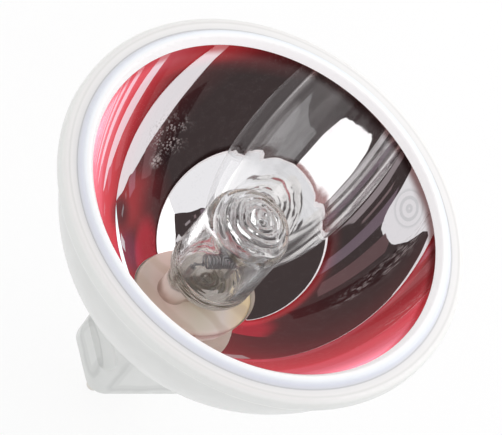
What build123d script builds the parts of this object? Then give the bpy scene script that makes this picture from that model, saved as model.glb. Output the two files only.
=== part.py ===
from build123d import *
from math import asin, degrees, hypot, sqrt
import os

# Two-pin halogen reflector lamp, in millimetres. The optical axis is +Z, towards the opening, z = 0 is the
# end face of the glass neck, and the two contact pins lie along X.

# Reflector rim and bowl
body_length = 37.5
rim_radius = 25.0
flange_width = 1.8
flange_step = 0.7
flange_thickness = 2.2
flange_overhang = 0.6
flange_rounding = 0.7
bead_width = 1.9
bead_inner_slope = 0.6
bead_outer_slope = 0.45
bead_rounding = 0.3
bowl_centre_rise = 3.6
bowl_floor = 2.2

# Ellipsoidal mirror, given by where it starts and where its two foci lie
mirror_edge_drop = 0.8
filament_depth = 12.0
working_distance = 34.0

# Glass neck
neck_width = 14.2
neck_thickness = 9.2
neck_corner = 2.2
neck_draft = 0.8
neck_wall = 1.4
neck_root_rounding = 1.6
neck_end_rounding = 0.6
notch_radius = 3.2
notch_depth = 0.7
notch_height = 6.5
hole_width = 15.8
hole_thickness = 12.2
well_depth = 3.0
well_slope = 1.7

# Quartz capsule
bulb_radius = 5.1
bulb_wall = 1.1
bulb_crown = 2.3
bulb_floor = 1.6
bulb_below_filament = 5.3
crown_drop = 2.8
crown_rounding = 3.5
shoulder_rounding = 3.0
hollow_top_rounding = 0.9
hollow_floor_rounding = 1.8
tip_radius = 1.2
tip_height = 0.6
tip_draft = 15
tip_rounding = 0.3
pinch_width = 9.4
pinch_thickness = 2.8
pinch_edge_radius = 1.8
pinch_end_height = 6.0

# Coil, leads, foils and pins
coil_length = 3.4
coil_radius = 0.75
coil_turns = 9
coil_wire_radius = 0.13
coil_bead_radius = 0.2
leg_length = 0.7
leg_socket = 0.9
inner_lead_radius = 0.35
foil_width = 1.8
foil_thickness = 0.1
foil_margin = 2.0
weld_overlap = 1.2
outer_lead_radius = 0.4
crimp_depth = 4.5
pin_spacing = 5.33
pin_radius = 0.775
pin_length = 6.35
pin_tip_rounding = 0.4
barrel_radius = 1.05
barrel_length = 2.6

# Cement
cement_recess = 0.6
cement_drop = 0.4
cement_rounding = 0.4

# The rim's levels, and the mirror's edge inside it
flange_face_z = body_length - flange_step
flange_back_z = flange_face_z - flange_thickness
bead_radius = rim_radius - flange_width
mirror_edge_radius = bead_radius - bead_width
mirror_edge_z = body_length - mirror_edge_drop
filament_z = mirror_edge_z - filament_depth

# By way of any point of the mirror, the path from focus to focus has one length
focal_path = hypot(mirror_edge_radius, filament_depth) + hypot(mirror_edge_radius, working_distance)
mirror_axial = focal_path / 2
mirror_focal = (filament_depth + working_distance) / 2
mirror_radial = sqrt(mirror_axial**2 - mirror_focal**2)
mirror_centre_z = filament_z + mirror_focal
mirror_arc = 90 + degrees(asin((mirror_edge_z - mirror_centre_z) / mirror_axial))

# The outside of the bowl is a second ellipsoid, which ends under the flange
bowl_radial = rim_radius - flange_overhang
bowl_centre_z = mirror_edge_z + bowl_centre_rise
bowl_axial = bowl_centre_z - mirror_centre_z + mirror_axial + bowl_floor
bowl_arc = 90 + degrees(asin((flange_back_z - bowl_centre_z) / bowl_axial))

# The oval hole in the mirror, the tapering well under it and the hollow of the neck
hole_z = mirror_centre_z - mirror_axial * sqrt(1 - (hole_width / 2 / mirror_radial) ** 2)
well_floor_z = hole_z - well_depth
cavity_width = neck_width - 2 * neck_wall
cavity_thickness = neck_thickness - 2 * neck_wall
cavity_corner = neck_corner - neck_wall

# Levels of the capsule and of what is sealed in it
crown_z = body_length - crown_drop
bulb_bottom_z = filament_z - bulb_below_filament
foil_top_z = bulb_bottom_z - foil_margin
foil_bottom_z = pinch_end_height + foil_margin
coil_end_z = filament_z - coil_radius
inner_lead_top_z = coil_end_z - leg_length
barrel_top_z = cement_recess + barrel_length
crimp_z = barrel_top_z - crimp_depth
pin_x = pin_spacing / 2
side_x = {"left": -pin_x, "right": pin_x}

os.makedirs("parts", exist_ok=True)


# Hollow of the neck, flaring into the oval well under the mirror
with BuildPart() as neck_hollow:
    with BuildSketch(Plane.XY):
        RectangleRounded(cavity_width, cavity_thickness, cavity_corner)
    extrude(amount=well_floor_z)
    with BuildSketch(Plane.XY.offset(well_floor_z)):
        Ellipse(hole_width / 2 - well_slope, hole_thickness / 2 - well_slope)
    with BuildSketch(Plane.XY.offset(hole_z)):
        Ellipse(hole_width / 2, hole_thickness / 2)
    loft()


# Pressed glass reflector: bowl, rim and hollow neck are one piece
with BuildPart() as glass_reflector:
    with BuildSketch(Plane.YZ):
        with BuildLine():
            bowl = EllipticalCenterArc(
                (0, bowl_centre_z), bowl_radial, bowl_axial, -90, arc_size=bowl_arc
            )
            Polyline(
                bowl @ 1,
                (rim_radius, flange_back_z),
                (rim_radius, flange_face_z),
                (bead_radius, flange_face_z),
                (bead_radius - bead_outer_slope, body_length),
                (0, body_length),
                bowl @ 0,
            )
        make_face()
    revolve(axis=Axis.Z)
    rim_edges = glass_reflector.edges().filter_by(GeomType.CIRCLE).group_by(SortBy.RADIUS)[-1]
    fillet(rim_edges, flange_rounding)
    with BuildSketch(Plane.XY):
        RectangleRounded(neck_width, neck_thickness, neck_corner)
    with BuildSketch(Plane.XY.offset(filament_z)):
        RectangleRounded(neck_width + 2 * neck_draft, neck_thickness + 2 * neck_draft, neck_corner)
    loft()
    fillet(glass_reflector.edges(Select.NEW), neck_root_rounding)
    fillet(glass_reflector.faces().sort_by(Axis.Z)[0].edges(), neck_end_rounding)

    # Hollow of the mirror, which opens through the sloping inner side of the rim bead
    with BuildSketch(Plane.YZ):
        with BuildLine():
            mirror = EllipticalCenterArc(
                (0, mirror_centre_z), mirror_radial, mirror_axial, -90, arc_size=mirror_arc
            )
            Polyline(
                mirror @ 1,
                (mirror_edge_radius + bead_inner_slope, body_length),
                (0, body_length),
                mirror @ 0,
            )
        make_face()
    revolve(axis=Axis.Z, mode=Mode.SUBTRACT)
    fillet(glass_reflector.faces().sort_by(Axis.Z)[-1].edges(), bead_rounding)
    add(neck_hollow.part, mode=Mode.SUBTRACT)

    # Grooves across the neck's narrow sides, where a holder's spring clip catches
    notch_x = neck_width / 2 + notch_radius - notch_depth
    with BuildSketch(Plane.XZ):
        with Locations((-notch_x, notch_height), (notch_x, notch_height)):
            Circle(notch_radius)
    extrude(amount=neck_thickness, both=True, mode=Mode.SUBTRACT)


# Tungsten coil between the two posts, with a tail out to each post and a leg down into it
with BuildPart() as filament_coil:
    with BuildLine() as upright_coil:
        Helix(pitch=coil_length / coil_turns, height=coil_length, radius=coil_radius)
    coil_plane = Plane(origin=(-coil_length / 2, 0, filament_z), x_dir=(0, 0, -1), z_dir=(1, 0, 0))
    coil_path = coil_plane * upright_coil.line
    with BuildSketch(Plane(origin=coil_path @ 0, z_dir=coil_path % 0)):
        Circle(coil_wire_radius)
    sweep(path=coil_path, is_frenet=True)
    with Locations((-coil_length / 2, 0, coil_end_z), (coil_length / 2, 0, coil_end_z)):
        Sphere(coil_bead_radius)
    for end in (-1, 1):
        with BuildSketch(Plane.YZ.offset(end * coil_length / 2)):
            with Locations((0, coil_end_z)):
                Circle(coil_wire_radius)
        extrude(amount=end * (pin_x - coil_length / 2))
    with Locations((-pin_x, 0, coil_end_z), (pin_x, 0, coil_end_z)):
        Sphere(coil_bead_radius)
    with BuildSketch(Plane.XY.offset(coil_end_z)):
        with Locations((-pin_x, 0), (pin_x, 0)):
            Circle(coil_wire_radius)
    extrude(amount=-(leg_length + leg_socket))


# Molybdenum foils, pressed flat into the pinch
seal_foils = {}
for side, x in side_x.items():
    with BuildPart() as foil:
        with BuildSketch(Plane.XY.offset(foil_bottom_z)):
            with Locations((x, 0)):
                Rectangle(foil_width, foil_thickness)
        extrude(amount=foil_top_z - foil_bottom_z)
    seal_foils[side] = foil.part


# Molybdenum posts, slit over the foil below and bored for the coil's leg above
inner_leads = {}
for side, x in side_x.items():
    with BuildPart() as inner_lead:
        with BuildSketch(Plane.XY.offset(foil_top_z - weld_overlap)):
            with Locations((x, 0)):
                Circle(inner_lead_radius)
        extrude(amount=inner_lead_top_z - foil_top_z + weld_overlap)
        add(seal_foils[side], mode=Mode.SUBTRACT)
        add(filament_coil.part, mode=Mode.SUBTRACT)
    inner_leads[side] = inner_lead.part


# Molybdenum wires from the foils, out of the pinch and down into the pins
outer_leads = {}
for side, x in side_x.items():
    with BuildPart() as outer_lead:
        with BuildSketch(Plane.XY.offset(crimp_z)):
            with Locations((x, 0)):
                Circle(outer_lead_radius)
        extrude(amount=foil_bottom_z + weld_overlap - crimp_z)
        add(seal_foils[side], mode=Mode.SUBTRACT)
    outer_leads[side] = outer_lead.part


# Nickel contact pins, each with a thicker barrel in the cement, crimped over the outer lead
contact_pins = {}
for side, x in side_x.items():
    with BuildPart() as contact_pin:
        with BuildSketch(Plane.XY.offset(-pin_length)):
            with Locations((x, 0)):
                Circle(pin_radius)
        extrude(amount=pin_length + cement_recess)
        fillet(contact_pin.edges().group_by(Axis.Z)[0], pin_tip_rounding)
        with BuildSketch(Plane.XY.offset(cement_recess)):
            with Locations((x, 0)):
                Circle(barrel_radius)
        extrude(amount=barrel_length)
        add(outer_leads[side], mode=Mode.SUBTRACT)
    contact_pins[side] = contact_pin.part


# Outer form of the quartz capsule: bulb, exhaust tip and flat pinch with thick edges
with BuildPart() as capsule_form:
    with BuildSketch(Plane.XY.offset(bulb_bottom_z)):
        Circle(bulb_radius)
    extrude(amount=crown_z - bulb_bottom_z)
    fillet(capsule_form.edges().sort_by(Axis.Z)[-1], crown_rounding)
    fillet(capsule_form.edges().sort_by(Axis.Z)[0], shoulder_rounding)
    with BuildSketch(Plane.XY.offset(crown_z)):
        Circle(tip_radius)
    extrude(amount=tip_height, taper=tip_draft)
    tip_edges = capsule_form.edges().filter_by(GeomType.CIRCLE).group_by(SortBy.RADIUS)[:2]
    fillet(tip_edges, tip_rounding)
    with BuildSketch(Plane.XY.offset(pinch_end_height)):
        pinch_edge_x = pinch_width / 2 - pinch_edge_radius
        Rectangle(2 * pinch_edge_x, pinch_thickness)
        with Locations((-pinch_edge_x, 0), (pinch_edge_x, 0)):
            Circle(pinch_edge_radius)
    extrude(amount=bulb_bottom_z + shoulder_rounding - pinch_end_height)


# Space inside the bulb, under the thick crown where the exhaust tube was closed
with BuildPart() as bulb_hollow:
    with BuildSketch(Plane.XY.offset(bulb_bottom_z + bulb_floor)):
        Circle(bulb_radius - bulb_wall)
    extrude(amount=crown_z - bulb_crown - bulb_bottom_z - bulb_floor)
    fillet(bulb_hollow.edges().sort_by(Axis.Z)[-1], hollow_top_rounding)
    fillet(bulb_hollow.edges().sort_by(Axis.Z)[0], hollow_floor_rounding)


# Quartz capsule, closed round the leads and foils
with BuildPart() as quartz_capsule:
    add(capsule_form.part)
    add(bulb_hollow.part, mode=Mode.SUBTRACT)
    for side in side_x:
        add(inner_leads[side], mode=Mode.SUBTRACT)
        add(seal_foils[side], mode=Mode.SUBTRACT)
        add(outer_leads[side], mode=Mode.SUBTRACT)


# Cream cement, poured into the neck round the pinch and the pins, with a rounded edge in the mirror
with BuildPart() as neck_cement:
    add(neck_hollow.part)
    split(bisect_by=Plane.XY.offset(cement_recess), keep=Keep.TOP)
    split(bisect_by=Plane.XY.offset(hole_z - cement_drop), keep=Keep.BOTTOM)
    fillet(neck_cement.faces().sort_by(Axis.Z)[-1].edges(), cement_rounding)
    add(capsule_form.part, mode=Mode.SUBTRACT)
    for side in side_x:
        add(outer_leads[side], mode=Mode.SUBTRACT)
        add(contact_pins[side], mode=Mode.SUBTRACT)


# One file for each piece
pieces = {
    "glass_reflector": glass_reflector.part,
    "quartz_capsule": quartz_capsule.part,
    "filament_coil": filament_coil.part,
    "neck_cement": neck_cement.part,
}
for side in side_x:
    pieces["inner_lead_" + side] = inner_leads[side]
    pieces["seal_foil_" + side] = seal_foils[side]
    pieces["outer_lead_" + side] = outer_leads[side]
    pieces["contact_pin_" + side] = contact_pins[side]
for name, piece in pieces.items():
    piece.label = name
    export_step(piece, f"parts/{name}.step")
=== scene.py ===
import bmesh
import bpy
import math
from mathutils import Matrix, Vector


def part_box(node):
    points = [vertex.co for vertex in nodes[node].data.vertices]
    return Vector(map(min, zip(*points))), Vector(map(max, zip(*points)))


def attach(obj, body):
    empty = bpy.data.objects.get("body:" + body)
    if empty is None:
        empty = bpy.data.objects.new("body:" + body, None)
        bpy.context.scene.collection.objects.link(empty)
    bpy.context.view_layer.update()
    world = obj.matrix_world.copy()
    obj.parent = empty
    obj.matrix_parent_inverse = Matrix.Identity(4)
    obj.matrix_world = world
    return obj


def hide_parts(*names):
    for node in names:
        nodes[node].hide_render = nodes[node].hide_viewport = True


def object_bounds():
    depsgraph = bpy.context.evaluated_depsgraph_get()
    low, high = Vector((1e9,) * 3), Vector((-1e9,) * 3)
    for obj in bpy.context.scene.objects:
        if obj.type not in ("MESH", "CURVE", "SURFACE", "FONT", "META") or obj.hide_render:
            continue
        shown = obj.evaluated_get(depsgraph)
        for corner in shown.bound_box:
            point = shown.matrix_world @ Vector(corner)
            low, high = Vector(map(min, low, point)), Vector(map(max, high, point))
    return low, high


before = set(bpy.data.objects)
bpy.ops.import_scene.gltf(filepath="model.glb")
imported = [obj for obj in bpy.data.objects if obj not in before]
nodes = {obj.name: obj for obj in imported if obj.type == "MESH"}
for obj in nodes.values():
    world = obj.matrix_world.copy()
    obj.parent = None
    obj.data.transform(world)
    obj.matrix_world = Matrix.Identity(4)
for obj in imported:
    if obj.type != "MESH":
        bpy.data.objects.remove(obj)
cad_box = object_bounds()

# Glass reflector. The real one is a single pressing of borosilicate glass: bowl, stepped rim and hollow neck.
# The rim is left clear, and the back of the bowl and the neck look milky from the coating behind the glass
# and from the fine texture of the mould. It carries everything else.
mm = 0.001


class Field:
    """A value in a node tree. Arithmetic on it adds Math nodes to the same tree."""

    def __init__(self, tree, socket=None):
        self.tree = tree
        self.socket = socket

    def node(self, kind, settings=None, sockets=None, out=0):
        """Adds one node, makes its settings, then gives each named socket a value or a link."""
        made = self.tree.nodes.new(kind)
        for name, value in (settings or {}).items():
            if name == "stops":
                ramp = made.color_ramp.elements
                while len(ramp) < len(value):
                    ramp.new(1.0)
                for stop, (place, colour) in zip(ramp, value):
                    stop.position = place
                    stop.color = colour
            else:
                setattr(made, name, value)
        for name, value in (sockets or {}).items():
            if isinstance(value, Field):
                self.tree.links.new(value.socket, made.inputs[name])
            else:
                made.inputs[name].default_value = value
        return Field(self.tree, made.outputs[out] if len(made.outputs) else None)

    def output(self, name):
        return Field(self.tree, self.socket.node.outputs[name])

    def maths(self, operation, first, second=0.0):
        return self.node("ShaderNodeMath", {"operation": operation}, {0: first, 1: second})

    def __add__(self, other):
        return self.maths("ADD", self, other)

    def __radd__(self, other):
        return self.maths("ADD", other, self)

    def __sub__(self, other):
        return self.maths("SUBTRACT", self, other)

    def __rsub__(self, other):
        return self.maths("SUBTRACT", other, self)

    def __mul__(self, other):
        return self.maths("MULTIPLY", self, other)

    def __rmul__(self, other):
        return self.maths("MULTIPLY", other, self)

    def __truediv__(self, other):
        return self.maths("DIVIDE", self, other)

    def __rtruediv__(self, other):
        return self.maths("DIVIDE", other, self)

    def __pow__(self, other):
        return self.maths("POWER", self, other)

    def root(self):
        return self.maths("SQRT", self)

    def between(self, low, high):
        """0 at low and below, 1 at high and above, with a smooth change."""
        return self.node(
            "ShaderNodeMapRange",
            {"interpolation_type": "SMOOTHSTEP"},
            {"Value": self, "From Min": low, "From Max": high},
        )

    def blend(self, first, second):
        """A colour that goes from first to second as this value goes from 0 to 1."""
        return self.node(
            "ShaderNodeMix",
            {"data_type": "RGBA"},
            {"Factor": self, 6: first, 7: second},
            out=2,
        )


def new_material(name):
    """An empty node material, and the two fields that start most of them: its tree and Object coordinates."""
    material = bpy.data.materials.new(name)
    material.use_nodes = True
    material.node_tree.nodes.clear()
    start = Field(material.node_tree)
    place = start.node("ShaderNodeTexCoord").output("Object")
    return material, start, place


def finish_material(start, surface):
    """Links a material's last shader to its output."""
    start.node("ShaderNodeOutputMaterial", None, {"Surface": surface})


def parts_of(place):
    """A point's x, y, height above the neck's end and distance from the lamp's axis, in millimetres."""
    split = place.node("ShaderNodeSeparateXYZ", None, {0: place})
    x = split.output("X") / mm
    y = split.output("Y") / mm
    z = split.output("Z") / mm
    return x, y, z, (x * x + y * y).root()


def noise(place, scale, detail, roughness=0.5):
    """A cloudy pattern round 0.5, with this many clouds to the metre."""
    return place.node(
        "ShaderNodeTexNoise",
        None,
        {"Vector": place, "Scale": scale, "Detail": detail, "Roughness": roughness},
    )


reflector_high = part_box("glass_reflector")[1]
rim_radius = reflector_high.x
body_length = reflector_high.z
rim_width = 3.7 * mm
edge_drop = 0.8 * mm
mirror_edge_radius = rim_radius - rim_width
mirror_edge_z = body_length - edge_drop
rim_front = body_length / mm
clear_start, clear_full = 5.5, 1.2
clear_share = 0.08

glass, start, place = new_material("pressed_glass")
x, y, z, radius = parts_of(place)
ripple = noise(place, scale=260.0, detail=2.0)
mould_bump = start.node(
    "ShaderNodeBump", None, {"Strength": 0.04, "Distance": 0.4 * mm, "Height": ripple}
)
back_colour = ripple.between(0.3, 0.7).blend((0.68, 0.69, 0.675, 1), (0.71, 0.72, 0.705, 1))

# Darker lines on the neck where the walls of its hollow would show through the milky glass: painted shade of
# the hollow, seen through the glass.
hollow_half_width, hollow_half_thickness, hollow_end = 4.2, 1.9, 2.8
hollow_wander = 1.4
inner_line_share, hollow_share = 0.6, 0.45
hollow_fade_low, hollow_fade_high = 6.0, 11.0
narrow_face_low, narrow_face_high = 6.6, 7.0
across_face = start.maths("ABSOLUTE", x)
along_face = start.maths("ABSOLUTE", y)
on_narrow = across_face.between(narrow_face_low, narrow_face_high)
past_wide = (across_face - hollow_half_width) * (1 - on_narrow)
past_narrow = (along_face - hollow_half_thickness) * on_narrow
past_side = start.maths("MAXIMUM", past_wide + past_narrow, 0.0)
past_end = start.maths("MAXIMUM", hollow_end - z, 0.0)
from_hollow = (past_side * past_side + past_end * past_end).root()
outer_line, inner_line = [
    1 - start.maths("ABSOLUTE", from_hollow + ripple * hollow_wander - offset).between(0.0, width)
    for offset, width in ((1.9, 0.7), (1.2, 0.5))
]
painted_hollow_shade = outer_line + inner_line * inner_line_share
painted_hollow_shade = painted_hollow_shade * (1 - z.between(hollow_fade_low, hollow_fade_high))
back_colour = (painted_hollow_shade * hollow_share).blend(back_colour, (0.44, 0.45, 0.44, 1))

# Across the rim: white at the inner chamfer, then a pale lavender bead. The grey ring at the step and the
# darker rings further out are painted shade.
across_rim = (radius - mirror_edge_radius / mm) / (rim_width / mm)
rim_colour_and_shade = start.node(
    "ShaderNodeValToRGB",
    {"stops": [
        (0.00, (0.98, 0.98, 0.98, 1)),
        (0.20, (0.98, 0.98, 0.98, 1)),
        (0.33, (0.90, 0.95, 0.98, 1)),
        (0.44, (0.84, 0.87, 0.96, 1)),
        (0.50, (0.84, 0.86, 0.92, 1)),
        (0.53, (0.66, 0.67, 0.68, 1)),
        (0.57, (0.94, 0.95, 0.94, 1)),
        (0.72, (0.97, 0.97, 0.96, 1)),
        (0.78, (0.86, 0.87, 0.85, 1)),
        (0.84, (0.97, 0.97, 0.96, 1)),
        (0.96, (0.95, 0.96, 0.94, 1)),
        (1.00, (0.84, 0.85, 0.83, 1)),
    ]},
    {"Fac": across_rim},
)
front_rim = z.between(rim_front - clear_start, rim_front - clear_full)
# The inner chamfer of the rim glows a little: painted light, for light carried out through the glass.
painted_rim_glow = front_rim * (1 - across_rim.between(0.25, 0.5))
milky = start.node(
    "ShaderNodeBsdfPrincipled",
    None,
    {"Base Color": front_rim.blend(back_colour, rim_colour_and_shade), "Roughness": 0.32, "IOR": 1.47,
     "Coat Weight": (1 - front_rim) * 0.3, "Coat Roughness": 0.08, "Normal": mould_bump,
     "Emission Color": painted_rim_glow.blend((0, 0, 0, 1), (0.12, 0.12, 0.125, 1)), "Emission Strength": 1.0},
)
clear = start.node(
    "ShaderNodeBsdfPrincipled",
    None,
    {"Base Color": (0.96, 0.98, 0.985, 1), "Roughness": 0.05, "IOR": 1.47, "Transmission Weight": 1.0},
)
finish_material(
    start, start.node("ShaderNodeMixShader", None, {0: front_rim * clear_share, 1: milky, 2: clear})
)
nodes["glass_reflector"].material_slots[0].material = glass

# Mirror coating. On the real lamp it is a stack of thin films laid on the inside of the bowl, which throws
# visible light forward and lets heat out at the back. Seen at a low angle it turns red, and that red is a
# painted glow here, standing in for light let through from behind the bowl. It is vapour coated in one go,
# from the oval hole for the capsule out to the bead of the rim.
coil_radius = 0.88 * mm
filament_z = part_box("filament_coil")[1].z - coil_radius
far_focus_rise = 34.0 * mm
far_focus_z = mirror_edge_z + far_focus_rise
hole_half_width = 7.72 * mm
hole_half_thickness = 5.55 * mm
film_thickness = 0.04 * mm
film_edge = mirror_edge_radius / mm
bowl_span = 28.0
film_shift, side_shift, spot_shift, edge_shift = 0.015, 0.07, 0.15, 0.16
thin_edge_width, thin_edge_inset = 1.0, 0.4
worn_width, worn_past, worn_wander = 0.25, 0.1, 0.5
reflected_ring_pitch, reflected_ring_start = 0.95 * mm, 0.6
reflected_ring_radius, reflected_ring_fade = 2.0 * mm, 2.5 * mm


def from_point(place, point):
    """Distance from a point of the lamp that is given in millimetres."""
    return place.node(
        "ShaderNodeVectorMath",
        {"operation": "DISTANCE"},
        {0: place, 1: tuple(part * mm for part in point)},
        out=1,
    )


def spot(place, point, inner, outer):
    """1 within the inner radius of a point, fading to 0 at the outer one, in millimetres."""
    return 1 - from_point(place, point).between(inner * mm, outer * mm)


coating, start, place = new_material("mirror_coating")
x, y, _, radius = parts_of(place)
smear = noise(place, scale=90.0, detail=4.0, roughness=0.6)
# The films are taken as thinner towards one side of the bowl, and the painted red glow is brighter on that
# side, as if more light fell on it from behind.
thin_and_lit_side = (y - x) / bowl_span
thin_spot = spot(place, (-4.5, 10.0, 20.0), inner=2.0, outer=6.0)
thin_edge = radius.between(film_edge - thin_edge_width - thin_edge_inset, film_edge - thin_edge_inset)
thin_edge = thin_edge * thin_and_lit_side.between(-0.1, 0.5)
facing = start.node("ShaderNodeLayerWeight", None, {"Blend": 0.5}).output("Facing")
facing = facing + thin_and_lit_side * side_shift + thin_spot * spot_shift + thin_edge * edge_shift + film_shift
thrown_back = start.node(
    "ShaderNodeValToRGB",
    {"stops": [
        (0.40, (0.88, 0.86, 0.865, 1)),
        (0.47, (0.80, 0.86, 0.865, 1)),
        (0.54, (0.68, 0.84, 0.85, 1)),
        (0.70, (0.56, 0.82, 0.84, 1)),
    ]},
    {"Fac": facing},
)
# The red let through at a low angle is emission: a painted glow, dull on one side and bright on the other.
dull_level, bright_level = 0.75, 1.2
low_angle_red = [
    (0.30, (0.0, 0.0, 0.0)), (0.38, (0.018, 0.002, 0.002)), (0.44, (0.045, 0.004, 0.005)),
    (0.48, (0.085, 0.006, 0.008)), (0.54, (0.205, 0.012, 0.015)), (0.60, (0.300, 0.017, 0.022)),
    (0.68, (0.320, 0.026, 0.034)), (0.76, (0.370, 0.052, 0.066)),
]
dull_red, bright_red = [
    start.node(
        "ShaderNodeValToRGB",
        {"stops": [(angle, tuple(level * part for part in red) + (1,)) for angle, red in low_angle_red]},
        {"Fac": facing},
    )
    for level in (dull_level, bright_level)
]
# A violet patch and a near black patch painted into the glow: painted reflections of dark things.
painted_violet_spot = spot(place, (-8.2, 4.4, 18.2), inner=0.8, outer=3.4)
painted_dark_spot = spot(place, (-9.4, 8.1, 20.7), inner=0.8, outer=2.8)
painted_red_glow = thin_and_lit_side.between(-0.9, 0.9).blend(dull_red, bright_red)
painted_red_glow = (painted_violet_spot * 0.7).blend(painted_red_glow, (0.12, 0.02, 0.055, 1))
painted_red_glow = (painted_dark_spot * 0.85).blend(painted_red_glow, (0.02, 0.004, 0.006, 1))
# Grey rings round a point near the rim, painted into the mirror's colour: a painted reflection, not a mark in
# the films.
from_reflected_rings = from_point(place, (20.44, 1.72, 34.0))
painted_reflected_rings = start.maths("SINE", from_reflected_rings * (2 * math.pi / reflected_ring_pitch) - reflected_ring_start).between(-0.4, 0.8)
painted_reflected_rings = painted_reflected_rings * (1 - from_reflected_rings.between(reflected_ring_radius, reflected_ring_fade))
worn_edge = (radius + smear * worn_wander).between(film_edge - worn_width, film_edge + worn_past)
reflected = (painted_reflected_rings * 0.45).blend(thrown_back, (0.52, 0.54, 0.54, 1))
reflected = (worn_edge * 0.85).blend(reflected, (0.16, 0.04, 0.035, 1))
films = start.node(
    "ShaderNodeBsdfPrincipled",
    None,
    {"Base Color": reflected, "Metallic": 1.0, "Roughness": smear.between(0.45, 0.9) * 0.04 + 0.012,
     "Emission Color": painted_red_glow, "Emission Strength": 1.0},
)
speck = start.node("ShaderNodeTexVoronoi", None, {"Vector": place, "Scale": 3000.0})
clump = noise(place, scale=650.0, detail=2.0)
smudge = spot(place, (-4.3, 13.8, 22.9), inner=0.3, outer=1.2)
drift = spot(place, (-3.2, 16.0, 25.5), inner=1.0, outer=3.6)
thin_dust, drift_cover, smudge_cover = 0.04, 0.55, 0.9
strewn = clump.between(0.44, 0.56) * thin_dust + clump.between(0.34, 0.50) * drift
dust_share = strewn * (1 - speck.between(0.30, 0.55)) * drift_cover
dust_share = dust_share + smudge * (1 - speck.between(0.2, 0.8)) * smudge_cover
dust = start.node(
    "ShaderNodeBsdfPrincipled",
    None,
    {"Base Color": clump.blend((0.42, 0.38, 0.37, 1), (0.78, 0.74, 0.73, 1)), "Roughness": 0.9},
)
finish_material(start, start.node("ShaderNodeMixShader", None, {0: dust_share, 1: films, 2: dust}))


def new_tree(name, inputs):
    """A Geometry Nodes tree with these inputs, the field that starts it, and its inputs as a field."""
    tree = bpy.data.node_groups.new(name, "GeometryNodeTree")
    tree.is_modifier = True
    for label, kind in inputs.items():
        tree.interface.new_socket(label, in_out="INPUT", socket_type="NodeSocket" + kind)
    tree.interface.new_socket("Geometry", in_out="OUTPUT", socket_type="NodeSocketGeometry")
    start = Field(tree)
    return tree, start, start.node("NodeGroupInput")


def finish_tree(start, shape, finish):
    """Ends a tree: makes instances real, sets the finish and links the output."""
    shape = start.node("GeometryNodeRealizeInstances", None, {"Geometry": shape})
    shape = start.node("GeometryNodeSetMaterial", None, {"Geometry": shape, "Material": finish})
    start.node("NodeGroupOutput", None, {"Geometry": shape})


weld = 0.0001 * mm
skin_middle, skin_swing = 0.6, 0.4
bowl_tree, start, sizes = new_tree("ellipsoidal_mirror", {
    "Near Focus": "Float", "Far Focus": "Float", "Edge Radius": "Float", "Edge Height": "Float",
    "Hole Half Width": "Float", "Hole Half Thickness": "Float", "Thickness": "Float",
    "Spokes": "Int", "Rings": "Int", "Finish": "Material",
})
near, far = sizes.output("Near Focus"), sizes.output("Far Focus")
edge_r, edge_h = sizes.output("Edge Radius"), sizes.output("Edge Height")
path_near = (edge_r**2 + (edge_h - near) ** 2).root()
path_far = (edge_r**2 + (far - edge_h) ** 2).root()
half_path = (path_near + path_far) / 2
half_focal = (far - near) / 2
grid = start.node(
    "GeometryNodeMeshGrid",
    None,
    {"Size X": 1.0, "Size Y": 1.0, "Vertices X": sizes.output("Spokes"), "Vertices Y": sizes.output("Rings")},
)
split = start.node("ShaderNodeSeparateXYZ", None, {0: start.node("GeometryNodeInputPosition")})
turn = (split.output("X") + 0.5) * (2 * math.pi)
round_skin = (split.output("Y") + 0.5) * (2 * math.pi)
out_share = (1 - start.maths("COSINE", round_skin)) / 2
lift = (start.maths("SINE", round_skin) * skin_swing + skin_middle) * sizes.output("Thickness")
axial = half_path - lift
radial = (half_path**2 - half_focal**2).root() - lift
across = start.maths("COSINE", turn)
along = start.maths("SINE", turn)
hole_x = across / sizes.output("Hole Half Width")
hole_y = along / sizes.output("Hole Half Thickness")
hole_r = 1 / (hole_x**2 + hole_y**2).root()
ring_r = hole_r + (edge_r - lift - hole_r) * out_share
height = (near + far) / 2 - axial * (1 - (ring_r / radial) ** 2).root()
point = start.node("ShaderNodeCombineXYZ", None, {0: ring_r * across, 1: ring_r * along, 2: height})
bowl = start.node("GeometryNodeSetPosition", None, {"Geometry": grid, "Position": point})
bowl = start.node("GeometryNodeMergeByDistance", None, {"Geometry": bowl, "Distance": weld})
bowl = start.node("GeometryNodeFlipFaces", None, {"Mesh": bowl})
bowl = start.node("GeometryNodeSetShadeSmooth", None, {"Geometry": bowl})
finish_tree(start, bowl, sizes.output("Finish"))


def grow(name, tree, values, blank=None):
    """A piece from a node tree: sets the tree's inputs, evaluates it and keeps the result as a plain mesh.
    A tree that works on a mesh gets it as the blank."""
    carrier = bpy.data.objects.new(name + "_carrier", blank or bpy.data.meshes.new(name + "_carrier"))
    bpy.context.scene.collection.objects.link(carrier)
    growth = carrier.modifiers.new("growth", "NODES")
    growth.node_group = tree
    for item in tree.interface.items_tree:
        if item.in_out == "INPUT" and item.socket_type != "NodeSocketGeometry":
            growth[item.identifier] = values[item.name]
    graph = bpy.context.evaluated_depsgraph_get()
    mesh = bpy.data.meshes.new_from_object(carrier.evaluated_get(graph))
    carrier.modifiers.remove(growth)
    bpy.data.objects.remove(carrier)
    mesh.name = name
    piece = bpy.data.objects.new(name, mesh)
    bpy.context.scene.collection.objects.link(piece)
    return piece


mirror = grow(
    "mirror_coating",
    bowl_tree,
    {
        "Near Focus": filament_z, "Far Focus": far_focus_z,
        "Edge Radius": mirror_edge_radius, "Edge Height": mirror_edge_z,
        "Hole Half Width": hole_half_width, "Hole Half Thickness": hole_half_thickness,
        "Thickness": film_thickness, "Spokes": 241, "Rings": 181, "Finish": coating,
    },
)
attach(mirror, "root")

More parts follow.
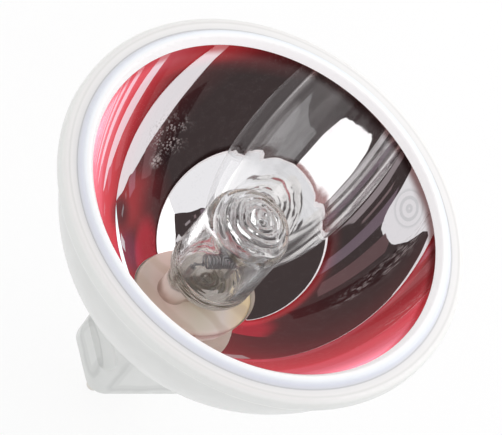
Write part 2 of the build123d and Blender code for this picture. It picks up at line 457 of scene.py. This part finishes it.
# Cement. Cream ceramic paste, poured into the neck round the pinch and the pins and baked hard. It holds the
# capsule with its coil at the focus of the mirror.
pour_x, pour_y = 0.97, -0.24
pour_start, pour_span, pour_wander = 6.5, 16.0, 3.0
lobe_x, lobe_y = 0.80, 0.60
lobe_rate, lobe_wander, lobe_share = 1.5, 6.0, 0.40
cement, start, place = new_material("cream_cement")
x, y, _, _ = parts_of(place)
grain = noise(place, scale=900.0, detail=5.0, roughness=0.6)
cloud = noise(place, scale=160.0, detail=2.0)
cream = start.node(
    "ShaderNodeValToRGB",
    {"stops": [
        (0.10, (0.70, 0.68, 0.59, 1)),
        (0.30, (0.92, 0.84, 0.76, 1)),
        (0.52, (0.88, 0.91, 0.78, 1)),
        (0.74, (0.98, 0.98, 0.91, 1)),
        (0.92, (0.99, 0.92, 0.58, 1)),
    ]},
    {"Fac": (x * pour_x + y * pour_y + cloud * pour_wander + pour_start) / pour_span},
)
# Brownish bands across the cement: painted shade of folds that its flat surface doesn't have.
painted_fold_shade = start.maths("SINE", (x * lobe_x + y * lobe_y) * lobe_rate + cloud * lobe_wander).between(-0.2, 1.0)
cream = (painted_fold_shade * lobe_share).blend(cream, (0.60, 0.54, 0.40, 1))
cement_bump = start.node("ShaderNodeBump", None, {"Strength": 0.25, "Distance": 0.1 * mm, "Height": grain})
finish_material(
    start,
    start.node(
        "ShaderNodeBsdfPrincipled",
        None,
        {"Base Color": cream, "Roughness": grain * 0.3 + 0.5, "Normal": cement_bump},
    ),
)
nodes["neck_cement"].material_slots[0].material = cement

# Quartz capsule. Clear fused quartz tube, squeezed flat at the foot into the pinch that seals the leads in.
# The exhaust tube was melted off at the crown, where the glass froze in wandering rings round the tip.
capsule_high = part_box("quartz_capsule")[1]
bulb_radius = capsule_high.y
tip_top_z = capsule_high.z
tip_height = 0.6 * mm
tip_foot, tip_shoulder = 1.45 * mm, 0.75 * mm
crown_rounding = 3.5 * mm
crown_flat_radius = bulb_radius - crown_rounding
crown_base_z = tip_top_z - tip_height - crown_rounding
crown_start_rise = 0.7 * mm
crown_start_z = crown_base_z + crown_start_rise
crown_fade = 1.5
outer_share = 0.85
arc_rings, flat_rings = 70, 26
ring_pitch, ring_wander = 0.85, 9.0
ridge_height = 0.1 * mm
swirl_x, swirl_y = 0.5, -0.3
crease_angle = math.radians(35)


def frozen_rings(place):
    """The melt's noise, how far a point belongs to the crown, and its place between a valley and a ridge."""
    x, y, z, _ = parts_of(place)
    melt = noise(place, scale=320.0, detail=2.0)
    crown = z.between(crown_start_z / mm, crown_start_z / mm + crown_fade)
    swirl = ((x - swirl_x) ** 2 + (y - swirl_y) ** 2).root()
    rings = place.maths("SINE", swirl * (2 * math.pi / ring_pitch) + melt * ring_wander) * crown
    return melt, crown, rings


blank = bmesh.new()
blank.from_mesh(nodes["quartz_capsule"].data)
bmesh.ops.remove_doubles(blank, verts=blank.verts, dist=weld)
bmesh.ops.bisect_plane(
    blank, geom=blank.verts[:] + blank.edges[:] + blank.faces[:], dist=weld,
    plane_co=(0, 0, crown_start_z), plane_no=(0, 0, 1),
)
old_crown = []
for face in blank.faces:
    middle = face.calc_center_median()
    off_arc = math.hypot(max(middle.xy.length - crown_flat_radius, 0.0), middle.z - crown_base_z)
    if middle.z > crown_start_z and off_arc > outer_share * crown_rounding:
        old_crown.append(face)
bmesh.ops.delete(blank, geom=old_crown, context="FACES")
cut_edge = {vert for edge in blank.edges if edge.is_boundary for vert in edge.verts}
ring = sorted(cut_edge, key=lambda vert: math.atan2(vert.co.y, vert.co.x))
turns = [math.atan2(vert.co.y, vert.co.x) for vert in ring]
start_tilt = math.asin((crown_start_z - crown_base_z) / crown_rounding)
crown_profile = []
for step in range(1, arc_rings + 1):
    tilt = start_tilt + (math.pi / 2 - start_tilt) * step / arc_rings
    crown_profile.append((
        crown_flat_radius + crown_rounding * math.cos(tilt), crown_base_z + crown_rounding * math.sin(tilt)
    ))
for step in range(1, flat_rings):
    out = crown_flat_radius * (1 - step / flat_rings)
    rise = min(max((tip_foot - out) / (tip_foot - tip_shoulder), 0.0), 1.0)
    crown_profile.append((
        out, crown_base_z + crown_rounding + tip_height * rise * rise * (3 - 2 * rise)
    ))
for out, height in crown_profile:
    inner = [blank.verts.new((out * math.cos(turn), out * math.sin(turn), height)) for turn in turns]
    for spoke in range(len(ring)):
        beside = (spoke + 1) % len(ring)
        blank.faces.new((ring[spoke], ring[beside], inner[beside], inner[spoke]))
    ring = inner
pole = blank.verts.new((0.0, 0.0, tip_top_z))
for spoke in range(len(ring)):
    blank.faces.new((ring[spoke], ring[(spoke + 1) % len(ring)], pole))
for face in blank.faces:
    face.smooth = True
capsule_blank = bpy.data.meshes.new("capsule_blank")
blank.to_mesh(capsule_blank)
blank.free()
capsule_blank.set_sharp_from_angle(angle=crease_angle)

crown_tree, start, sizes = new_tree(
    "frozen_crown", {"Blank": "Geometry", "Ridge Height": "Float", "Finish": "Material"}
)
_, crown, rings = frozen_rings(start.node("GeometryNodeInputPosition"))
lift = start.node(
    "ShaderNodeVectorMath",
    {"operation": "SCALE"},
    {0: start.node("GeometryNodeInputNormal"), "Scale": (rings - crown) * sizes.output("Ridge Height")},
)
body = start.node("GeometryNodeSetPosition", None, {"Geometry": sizes.output("Blank"), "Offset": lift})
finish_tree(start, body, sizes.output("Finish"))

tip_top = tip_top_z / mm
foot_low, foot_high = tip_top - 13.2, tip_top - 12.0
foot_pitch, foot_wander = 0.9, 7.0
ring_highlight_share, melt_milk, edge_highlight_share = 0.16, 0.06, 0.2
cement_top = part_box("neck_cement")[1].z / mm
paste_low, paste_high, paste_wander = cement_top + 1.2, cement_top + 3.0, 1.6
wet_low, wet_high = cement_top + 3.1, cement_top + 3.7
quartz, start, place = new_material("clear_quartz")
_, _, z, radius = parts_of(place)
melt, crown, rings = frozen_rings(place)
foot = 1 - z.between(foot_low, foot_high)
foot_rings = start.maths("SINE", (z + radius) * (2 * math.pi / foot_pitch) + melt * foot_wander) * foot
melt_bump = start.node(
    "ShaderNodeBump",
    None,
    {"Strength": 0.8, "Distance": 0.09 * mm, "Height": foot_rings * 0.8 + melt * 0.6},
)
clear = start.node(
    "ShaderNodeBsdfPrincipled",
    None,
    {"Base Color": (0.985, 0.99, 0.99, 1), "Roughness": 0.0, "IOR": 1.458, "Transmission Weight": 1.0,
     "Normal": melt_bump},
)
haze_and_highlight = start.node(
    "ShaderNodeBsdfPrincipled",
    None,
    {"Base Color": melt.blend((0.86, 0.86, 0.86, 1), (0.97, 0.97, 0.97, 1)), "Roughness": 0.4},
)
# White mixed into the clear quartz: along the crown's ridges and at the edges seen at a low angle it is a
# painted highlight for light bent in thick glass, and elsewhere a faint random haze.
grazing_highlight = start.node("ShaderNodeLayerWeight", None, {"Blend": 0.5}).output("Facing").between(0.6, 1.0)
haze_and_highlight_share = rings.between(0.0, 0.9) * crown * ring_highlight_share + melt.between(0.45, 0.7) * melt_milk
haze_and_highlight_share = haze_and_highlight_share + grazing_highlight * edge_highlight_share
glass_body = start.node("ShaderNodeMixShader", None, {0: haze_and_highlight_share, 1: clear, 2: haze_and_highlight})
# Cream paste over the pinch, up to the bulb's foot. Low down it is painted dark brown as shade round the
# pinch, and it glows a little, painted light standing in for light scattered through the cement.
above_painted_shade = (z + melt * paste_wander).between(paste_low, paste_high)
paste_and_shade = above_painted_shade.blend(
    melt.between(0.3, 0.7).blend((0.28, 0.22, 0.18, 1), (0.62, 0.54, 0.46, 1)),
    melt.blend((0.78, 0.73, 0.65, 1), (0.88, 0.84, 0.78, 1)),
)
wetted_and_glowing = start.node(
    "ShaderNodeBsdfPrincipled",
    None,
    {"Base Color": paste_and_shade, "Roughness": 0.6, "Emission Color": paste_and_shade, "Emission Strength": 0.14},
)
in_cement = 1 - (z + melt).between(wet_low, wet_high)
finish_material(start, start.node("ShaderNodeMixShader", None, {0: in_cement, 1: glass_body, 2: wetted_and_glowing}))
capsule = grow("melted_capsule", crown_tree, {"Ridge Height": ridge_height, "Finish": quartz}, capsule_blank)
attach(capsule, "root")
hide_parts("quartz_capsule")

# Coil. Tungsten wire wound on a mandrel into nine turns, with a tail out to each side. Its two legs are
# pushed into the bored tops of the posts, which carry it at the focus.


def drawn_metal(name, scale, detail, dark, bright, roughness, spread, pull=1.0):
    """A metal drawn into wire or rod, with its grain in colour and roughness. A pull under 1 draws the grain
    out along the lamp's axis."""
    material, start, place = new_material(name)
    pulled = start.node("ShaderNodeVectorMath", {"operation": "MULTIPLY"}, {0: place, 1: (1.0, 1.0, pull)})
    drawn = noise(pulled, scale, detail)
    metal = start.node(
        "ShaderNodeBsdfPrincipled",
        None,
        {"Base Color": drawn.blend(dark, bright), "Metallic": 1.0, "Roughness": drawn * spread + roughness},
    )
    finish_material(start, metal)
    return material


tungsten = drawn_metal(
    "tungsten_wire", scale=2500.0, detail=3.0, dark=(0.30, 0.30, 0.31, 1), bright=(0.48, 0.48, 0.49, 1),
    roughness=0.3, spread=0.2,
)
nodes["filament_coil"].material_slots[0].material = tungsten

# Posts, foils and wires. Molybdenum, one train on each side: a post, a thin foil and an outer wire, welded
# end to end. The quartz is pressed flat round the foil, which is what seals the capsule.
molybdenum = drawn_metal(
    "molybdenum", scale=1800.0, detail=3.0, dark=(0.52, 0.50, 0.48, 1), bright=(0.70, 0.68, 0.66, 1),
    roughness=0.35, spread=0.25,
)
for name, node in nodes.items():
    if name.startswith(("inner_lead", "seal_foil", "outer_lead")):
        node.material_slots[0].material = molybdenum

# Contact pins. Nickel rod, turned down from a thicker barrel that is crimped over the wire from the pinch.
# The barrels are held in the cement, and the thin ends stand out below the neck.
nickel = drawn_metal(
    "nickel_pin", scale=2600.0, detail=2.0, dark=(0.66, 0.64, 0.60, 1), bright=(0.76, 0.74, 0.70, 1),
    roughness=0.28, spread=0.15, pull=0.06,
)
for side in ("left", "right"):
    nodes["contact_pin_" + side].material_slots[0].material = nickel

# Floor. A plain sheet of white paper under the pins. It shows white to the camera and in mirror and glass,
# and keeps a soft shadow of the lamp.
floor_z = cad_box[0].z
floor_half = 0.6
white_share = 0.86
floor_mesh = bpy.data.meshes.new("floor")
floor_mesh.from_pydata(
    [(-floor_half, -floor_half, floor_z), (floor_half, -floor_half, floor_z),
     (floor_half, floor_half, floor_z), (-floor_half, floor_half, floor_z)],
    [],
    [(0, 1, 2, 3)],
)
floor = bpy.data.objects.new("floor", floor_mesh)
bpy.context.scene.collection.objects.link(floor)
paper, start, _ = new_material("white_paper")
light_path = start.node("ShaderNodeLightPath")
seen = start.maths(
    "MAXIMUM",
    light_path.output("Is Camera Ray"),
    start.maths("MAXIMUM", light_path.output("Is Glossy Ray"), light_path.output("Is Transmission Ray")),
)
matt = start.node("ShaderNodeBsdfPrincipled", None, {"Base Color": (0.9, 0.9, 0.9, 1), "Roughness": 0.8})
plain_white = start.node("ShaderNodeEmission", None, {"Color": (1, 1, 1, 1), "Strength": 1.0})
finish_material(
    start, start.node("ShaderNodeMixShader", None, {0: seen * white_share, 1: matt, 2: plain_white})
)
floor_mesh.materials.append(paper)

# Studio light. A white room that lights the lamp evenly, which the mirror shows as a dim one. Light panels
# and dark cards are bent round the mouth of the lamp, and the mirror shows them as its shapes and strips.
dim_room = (0.060, 0.046, 0.046, 1)
dim_way = (-0.107, 0.606, 0.788)
panel_reach = 0.2
behind_panels = 0.21
panel_step = 2
panel_foot = 86
fade_start = 0.8
world = bpy.data.worlds.new("studio")
bpy.context.scene.world = world
world.use_nodes = True
world.node_tree.nodes.clear()
start = Field(world.node_tree)
light_path = start.node("ShaderNodeLightPath")
mirrored = light_path.output("Is Glossy Ray") * (1 - light_path.output("Diffuse Depth").between(0.0, 1.0))
through_glass = light_path.output("Transmission Depth").between(0.0, 1.0)
way = start.node("ShaderNodeTexCoord").output("Generated")
dim_side = start.node("ShaderNodeVectorMath", {"operation": "DOT_PRODUCT"}, {0: way, 1: dim_way}, out=1)
patches = noise(way, scale=3.0, detail=1.0).between(0.42, 0.54)
patchwork = patches.blend((0.10, 0.09, 0.09, 1), (0.92, 0.91, 0.90, 1))
patchwork = dim_side.between(0.74, 0.92).blend(patchwork, (0.12, 0.11, 0.11, 1))
room = mirrored.blend((1.0, 1.0, 1.0, 1), through_glass.blend(dim_room, patchwork))
start.node(
    "ShaderNodeOutputWorld", None, {"Surface": start.node("ShaderNodeBackground", None, {"Color": room})}
)


def light_panel(name, top_edge, low_tilt, glow, low_glow=None, reach=panel_reach):
    """A panel bent round the lamp. Its top edge goes through pairs of a turn about the axis and a tilt off
    it, in degrees, and its low edge keeps one tilt. It has one glow, or fades to another at its low edge.
    Its reach is its distance from the middle of the mouth."""
    points = []
    for (turn, tilt), (next_turn, next_tilt) in zip(top_edge, top_edge[1:] + top_edge[-1:]):
        steps = max(1, round((next_turn - turn) / panel_step))
        for step in range(steps):
            share = step / steps
            bearing = math.radians(turn + (next_turn - turn) * share)
            for edge_tilt in (tilt + (next_tilt - tilt) * share, low_tilt):
                lean = math.radians(edge_tilt)
                outward = Vector((
                    math.sin(lean) * math.cos(bearing), math.sin(lean) * math.sin(bearing), math.cos(lean)
                ))
                points.append(outward * reach + Vector((0, 0, body_length)))
    faces = [(2 * s, 2 * s + 1, 2 * s + 3, 2 * s + 2) for s in range(len(points) // 2 - 1)]
    mesh = bpy.data.meshes.new(name)
    mesh.from_pydata(points, [], faces)
    panel = bpy.data.objects.new(name, mesh)
    bpy.context.scene.collection.objects.link(panel)
    material, start, place = new_material(name)
    surface = start.node("ShaderNodeEmission", None, {"Color": glow})
    if low_glow:
        _, _, z, radius = parts_of(place)
        tilt = start.maths("ARCTAN2", radius, z - body_length / mm)
        fade = tilt.between(math.radians(fade_start * low_tilt), math.radians(low_tilt))
        low_end = start.node("ShaderNodeEmission", None, {"Color": low_glow})
        surface = start.node("ShaderNodeMixShader", None, {0: fade, 1: surface, 2: low_end})
    finish_material(start, surface)
    mesh.materials.append(material)
    panel.visible_camera = False
    return panel


light_panel(
    "near_panel",
    [(179, 61.5), (190, 62.5), (204, 63.2), (214, 62.8), (219, 61), (224, 58), (227, 54.5), (230, 51.7),
     (235, 49), (240, 46.6), (244, 45.3), (250, 44), (256, 42.8), (264, 41.7), (272, 41), (280, 41),
     (284, 41.4), (287, 42.6), (290, 43.1), (295, 43.1), (302, 43.8), (307, 45.2), (320, 50.8)],
    panel_foot,
    (0.92, 0.93, 0.95, 1),
)
light_panel(
    "side_panel",
    [(320, 50.8), (326, 45), (331, 41.5), (337, 39.4), (341, 38.4), (345, 37.7), (350, 37.1), (356, 36.7),
     (364, 36.4), (373, 36.2), (391, 36.1), (400, 36.3), (404, 36.8), (408, 38.2), (409, 42)],
    panel_foot,
    (1.7, 1.7, 1.7, 1),
)
light_panel("haze_panel", [(56, 38.5), (80, 38), (104, 37.5)], 44, (0.3, 0.3, 0.3, 1))
light_panel("warm_strip", [(242, 31), (252, 31.5), (263, 33)], 44, (0.15, 0.095, 0.098, 1))
light_panel("cool_strip", [(277, 34), (291, 35)], 42, (0.19, 0.145, 0.175, 1))
light_panel("thin_strip", [(297.4, 38.6), (300.2, 38.6)], 40.8, (0.22, 0.165, 0.17, 1))
light_panel("grey_strip", [(306.5, 38.3), (314.5, 38.3)], 40.0, (0.32, 0.28, 0.29, 1))
light_panel("pale_strip", [(327.5, 34), (336.5, 34)], 39.4, (0.70, 0.68, 0.69, 1))
for card in (
    light_panel("dark_card", [(211, 26), (233, 26)], 49, (0.030, 0.018, 0.019, 1)),
    light_panel("gap_card", [(315.5, 30), (326, 30)], 44.5, dim_room),
    light_panel("end_card", [(340, 26), (404, 26)], 42, dim_room, reach=behind_panels),
):
    card.visible_transmission = False
    card.visible_diffuse = False
light_panel("red_card", [(165, 2), (345, 2)], 24, (0.42, 0.05, 0.065, 1), dim_room)

# Camera. A long lens well away from the lamp, looking down into the bowl. It is rolled, so that the lamp's
# axis leans across the picture.
camera_data = bpy.data.cameras.new("camera")
camera_data.sensor_width = 36.0
camera_data.lens = 446.2
camera = bpy.data.objects.new("camera", camera_data)
bpy.context.scene.collection.objects.link(camera)
camera_distance = 0.7
view_turn, view_tilt, view_roll = math.radians(312.4), math.radians(49.86), math.radians(40.84)
aim = Vector((-1.78, -0.87, 35.9)) * mm
back = Vector((
    math.sin(view_turn) * math.cos(view_tilt), -math.cos(view_turn) * math.cos(view_tilt), math.sin(view_tilt)
))
facing_in = (-back).to_track_quat("-Z", "Y").to_matrix() @ Matrix.Rotation(view_roll, 3, "Z")
camera.matrix_world = Matrix.Translation(aim + back * camera_distance) @ facing_in.to_4x4()
camera_data.clip_start, camera_data.clip_end = 0.01, 10.0
bpy.context.scene.camera = camera
bpy.context.scene.view_settings.view_transform = "Standard"
bpy.context.scene.cycles.glossy_bounces = 12
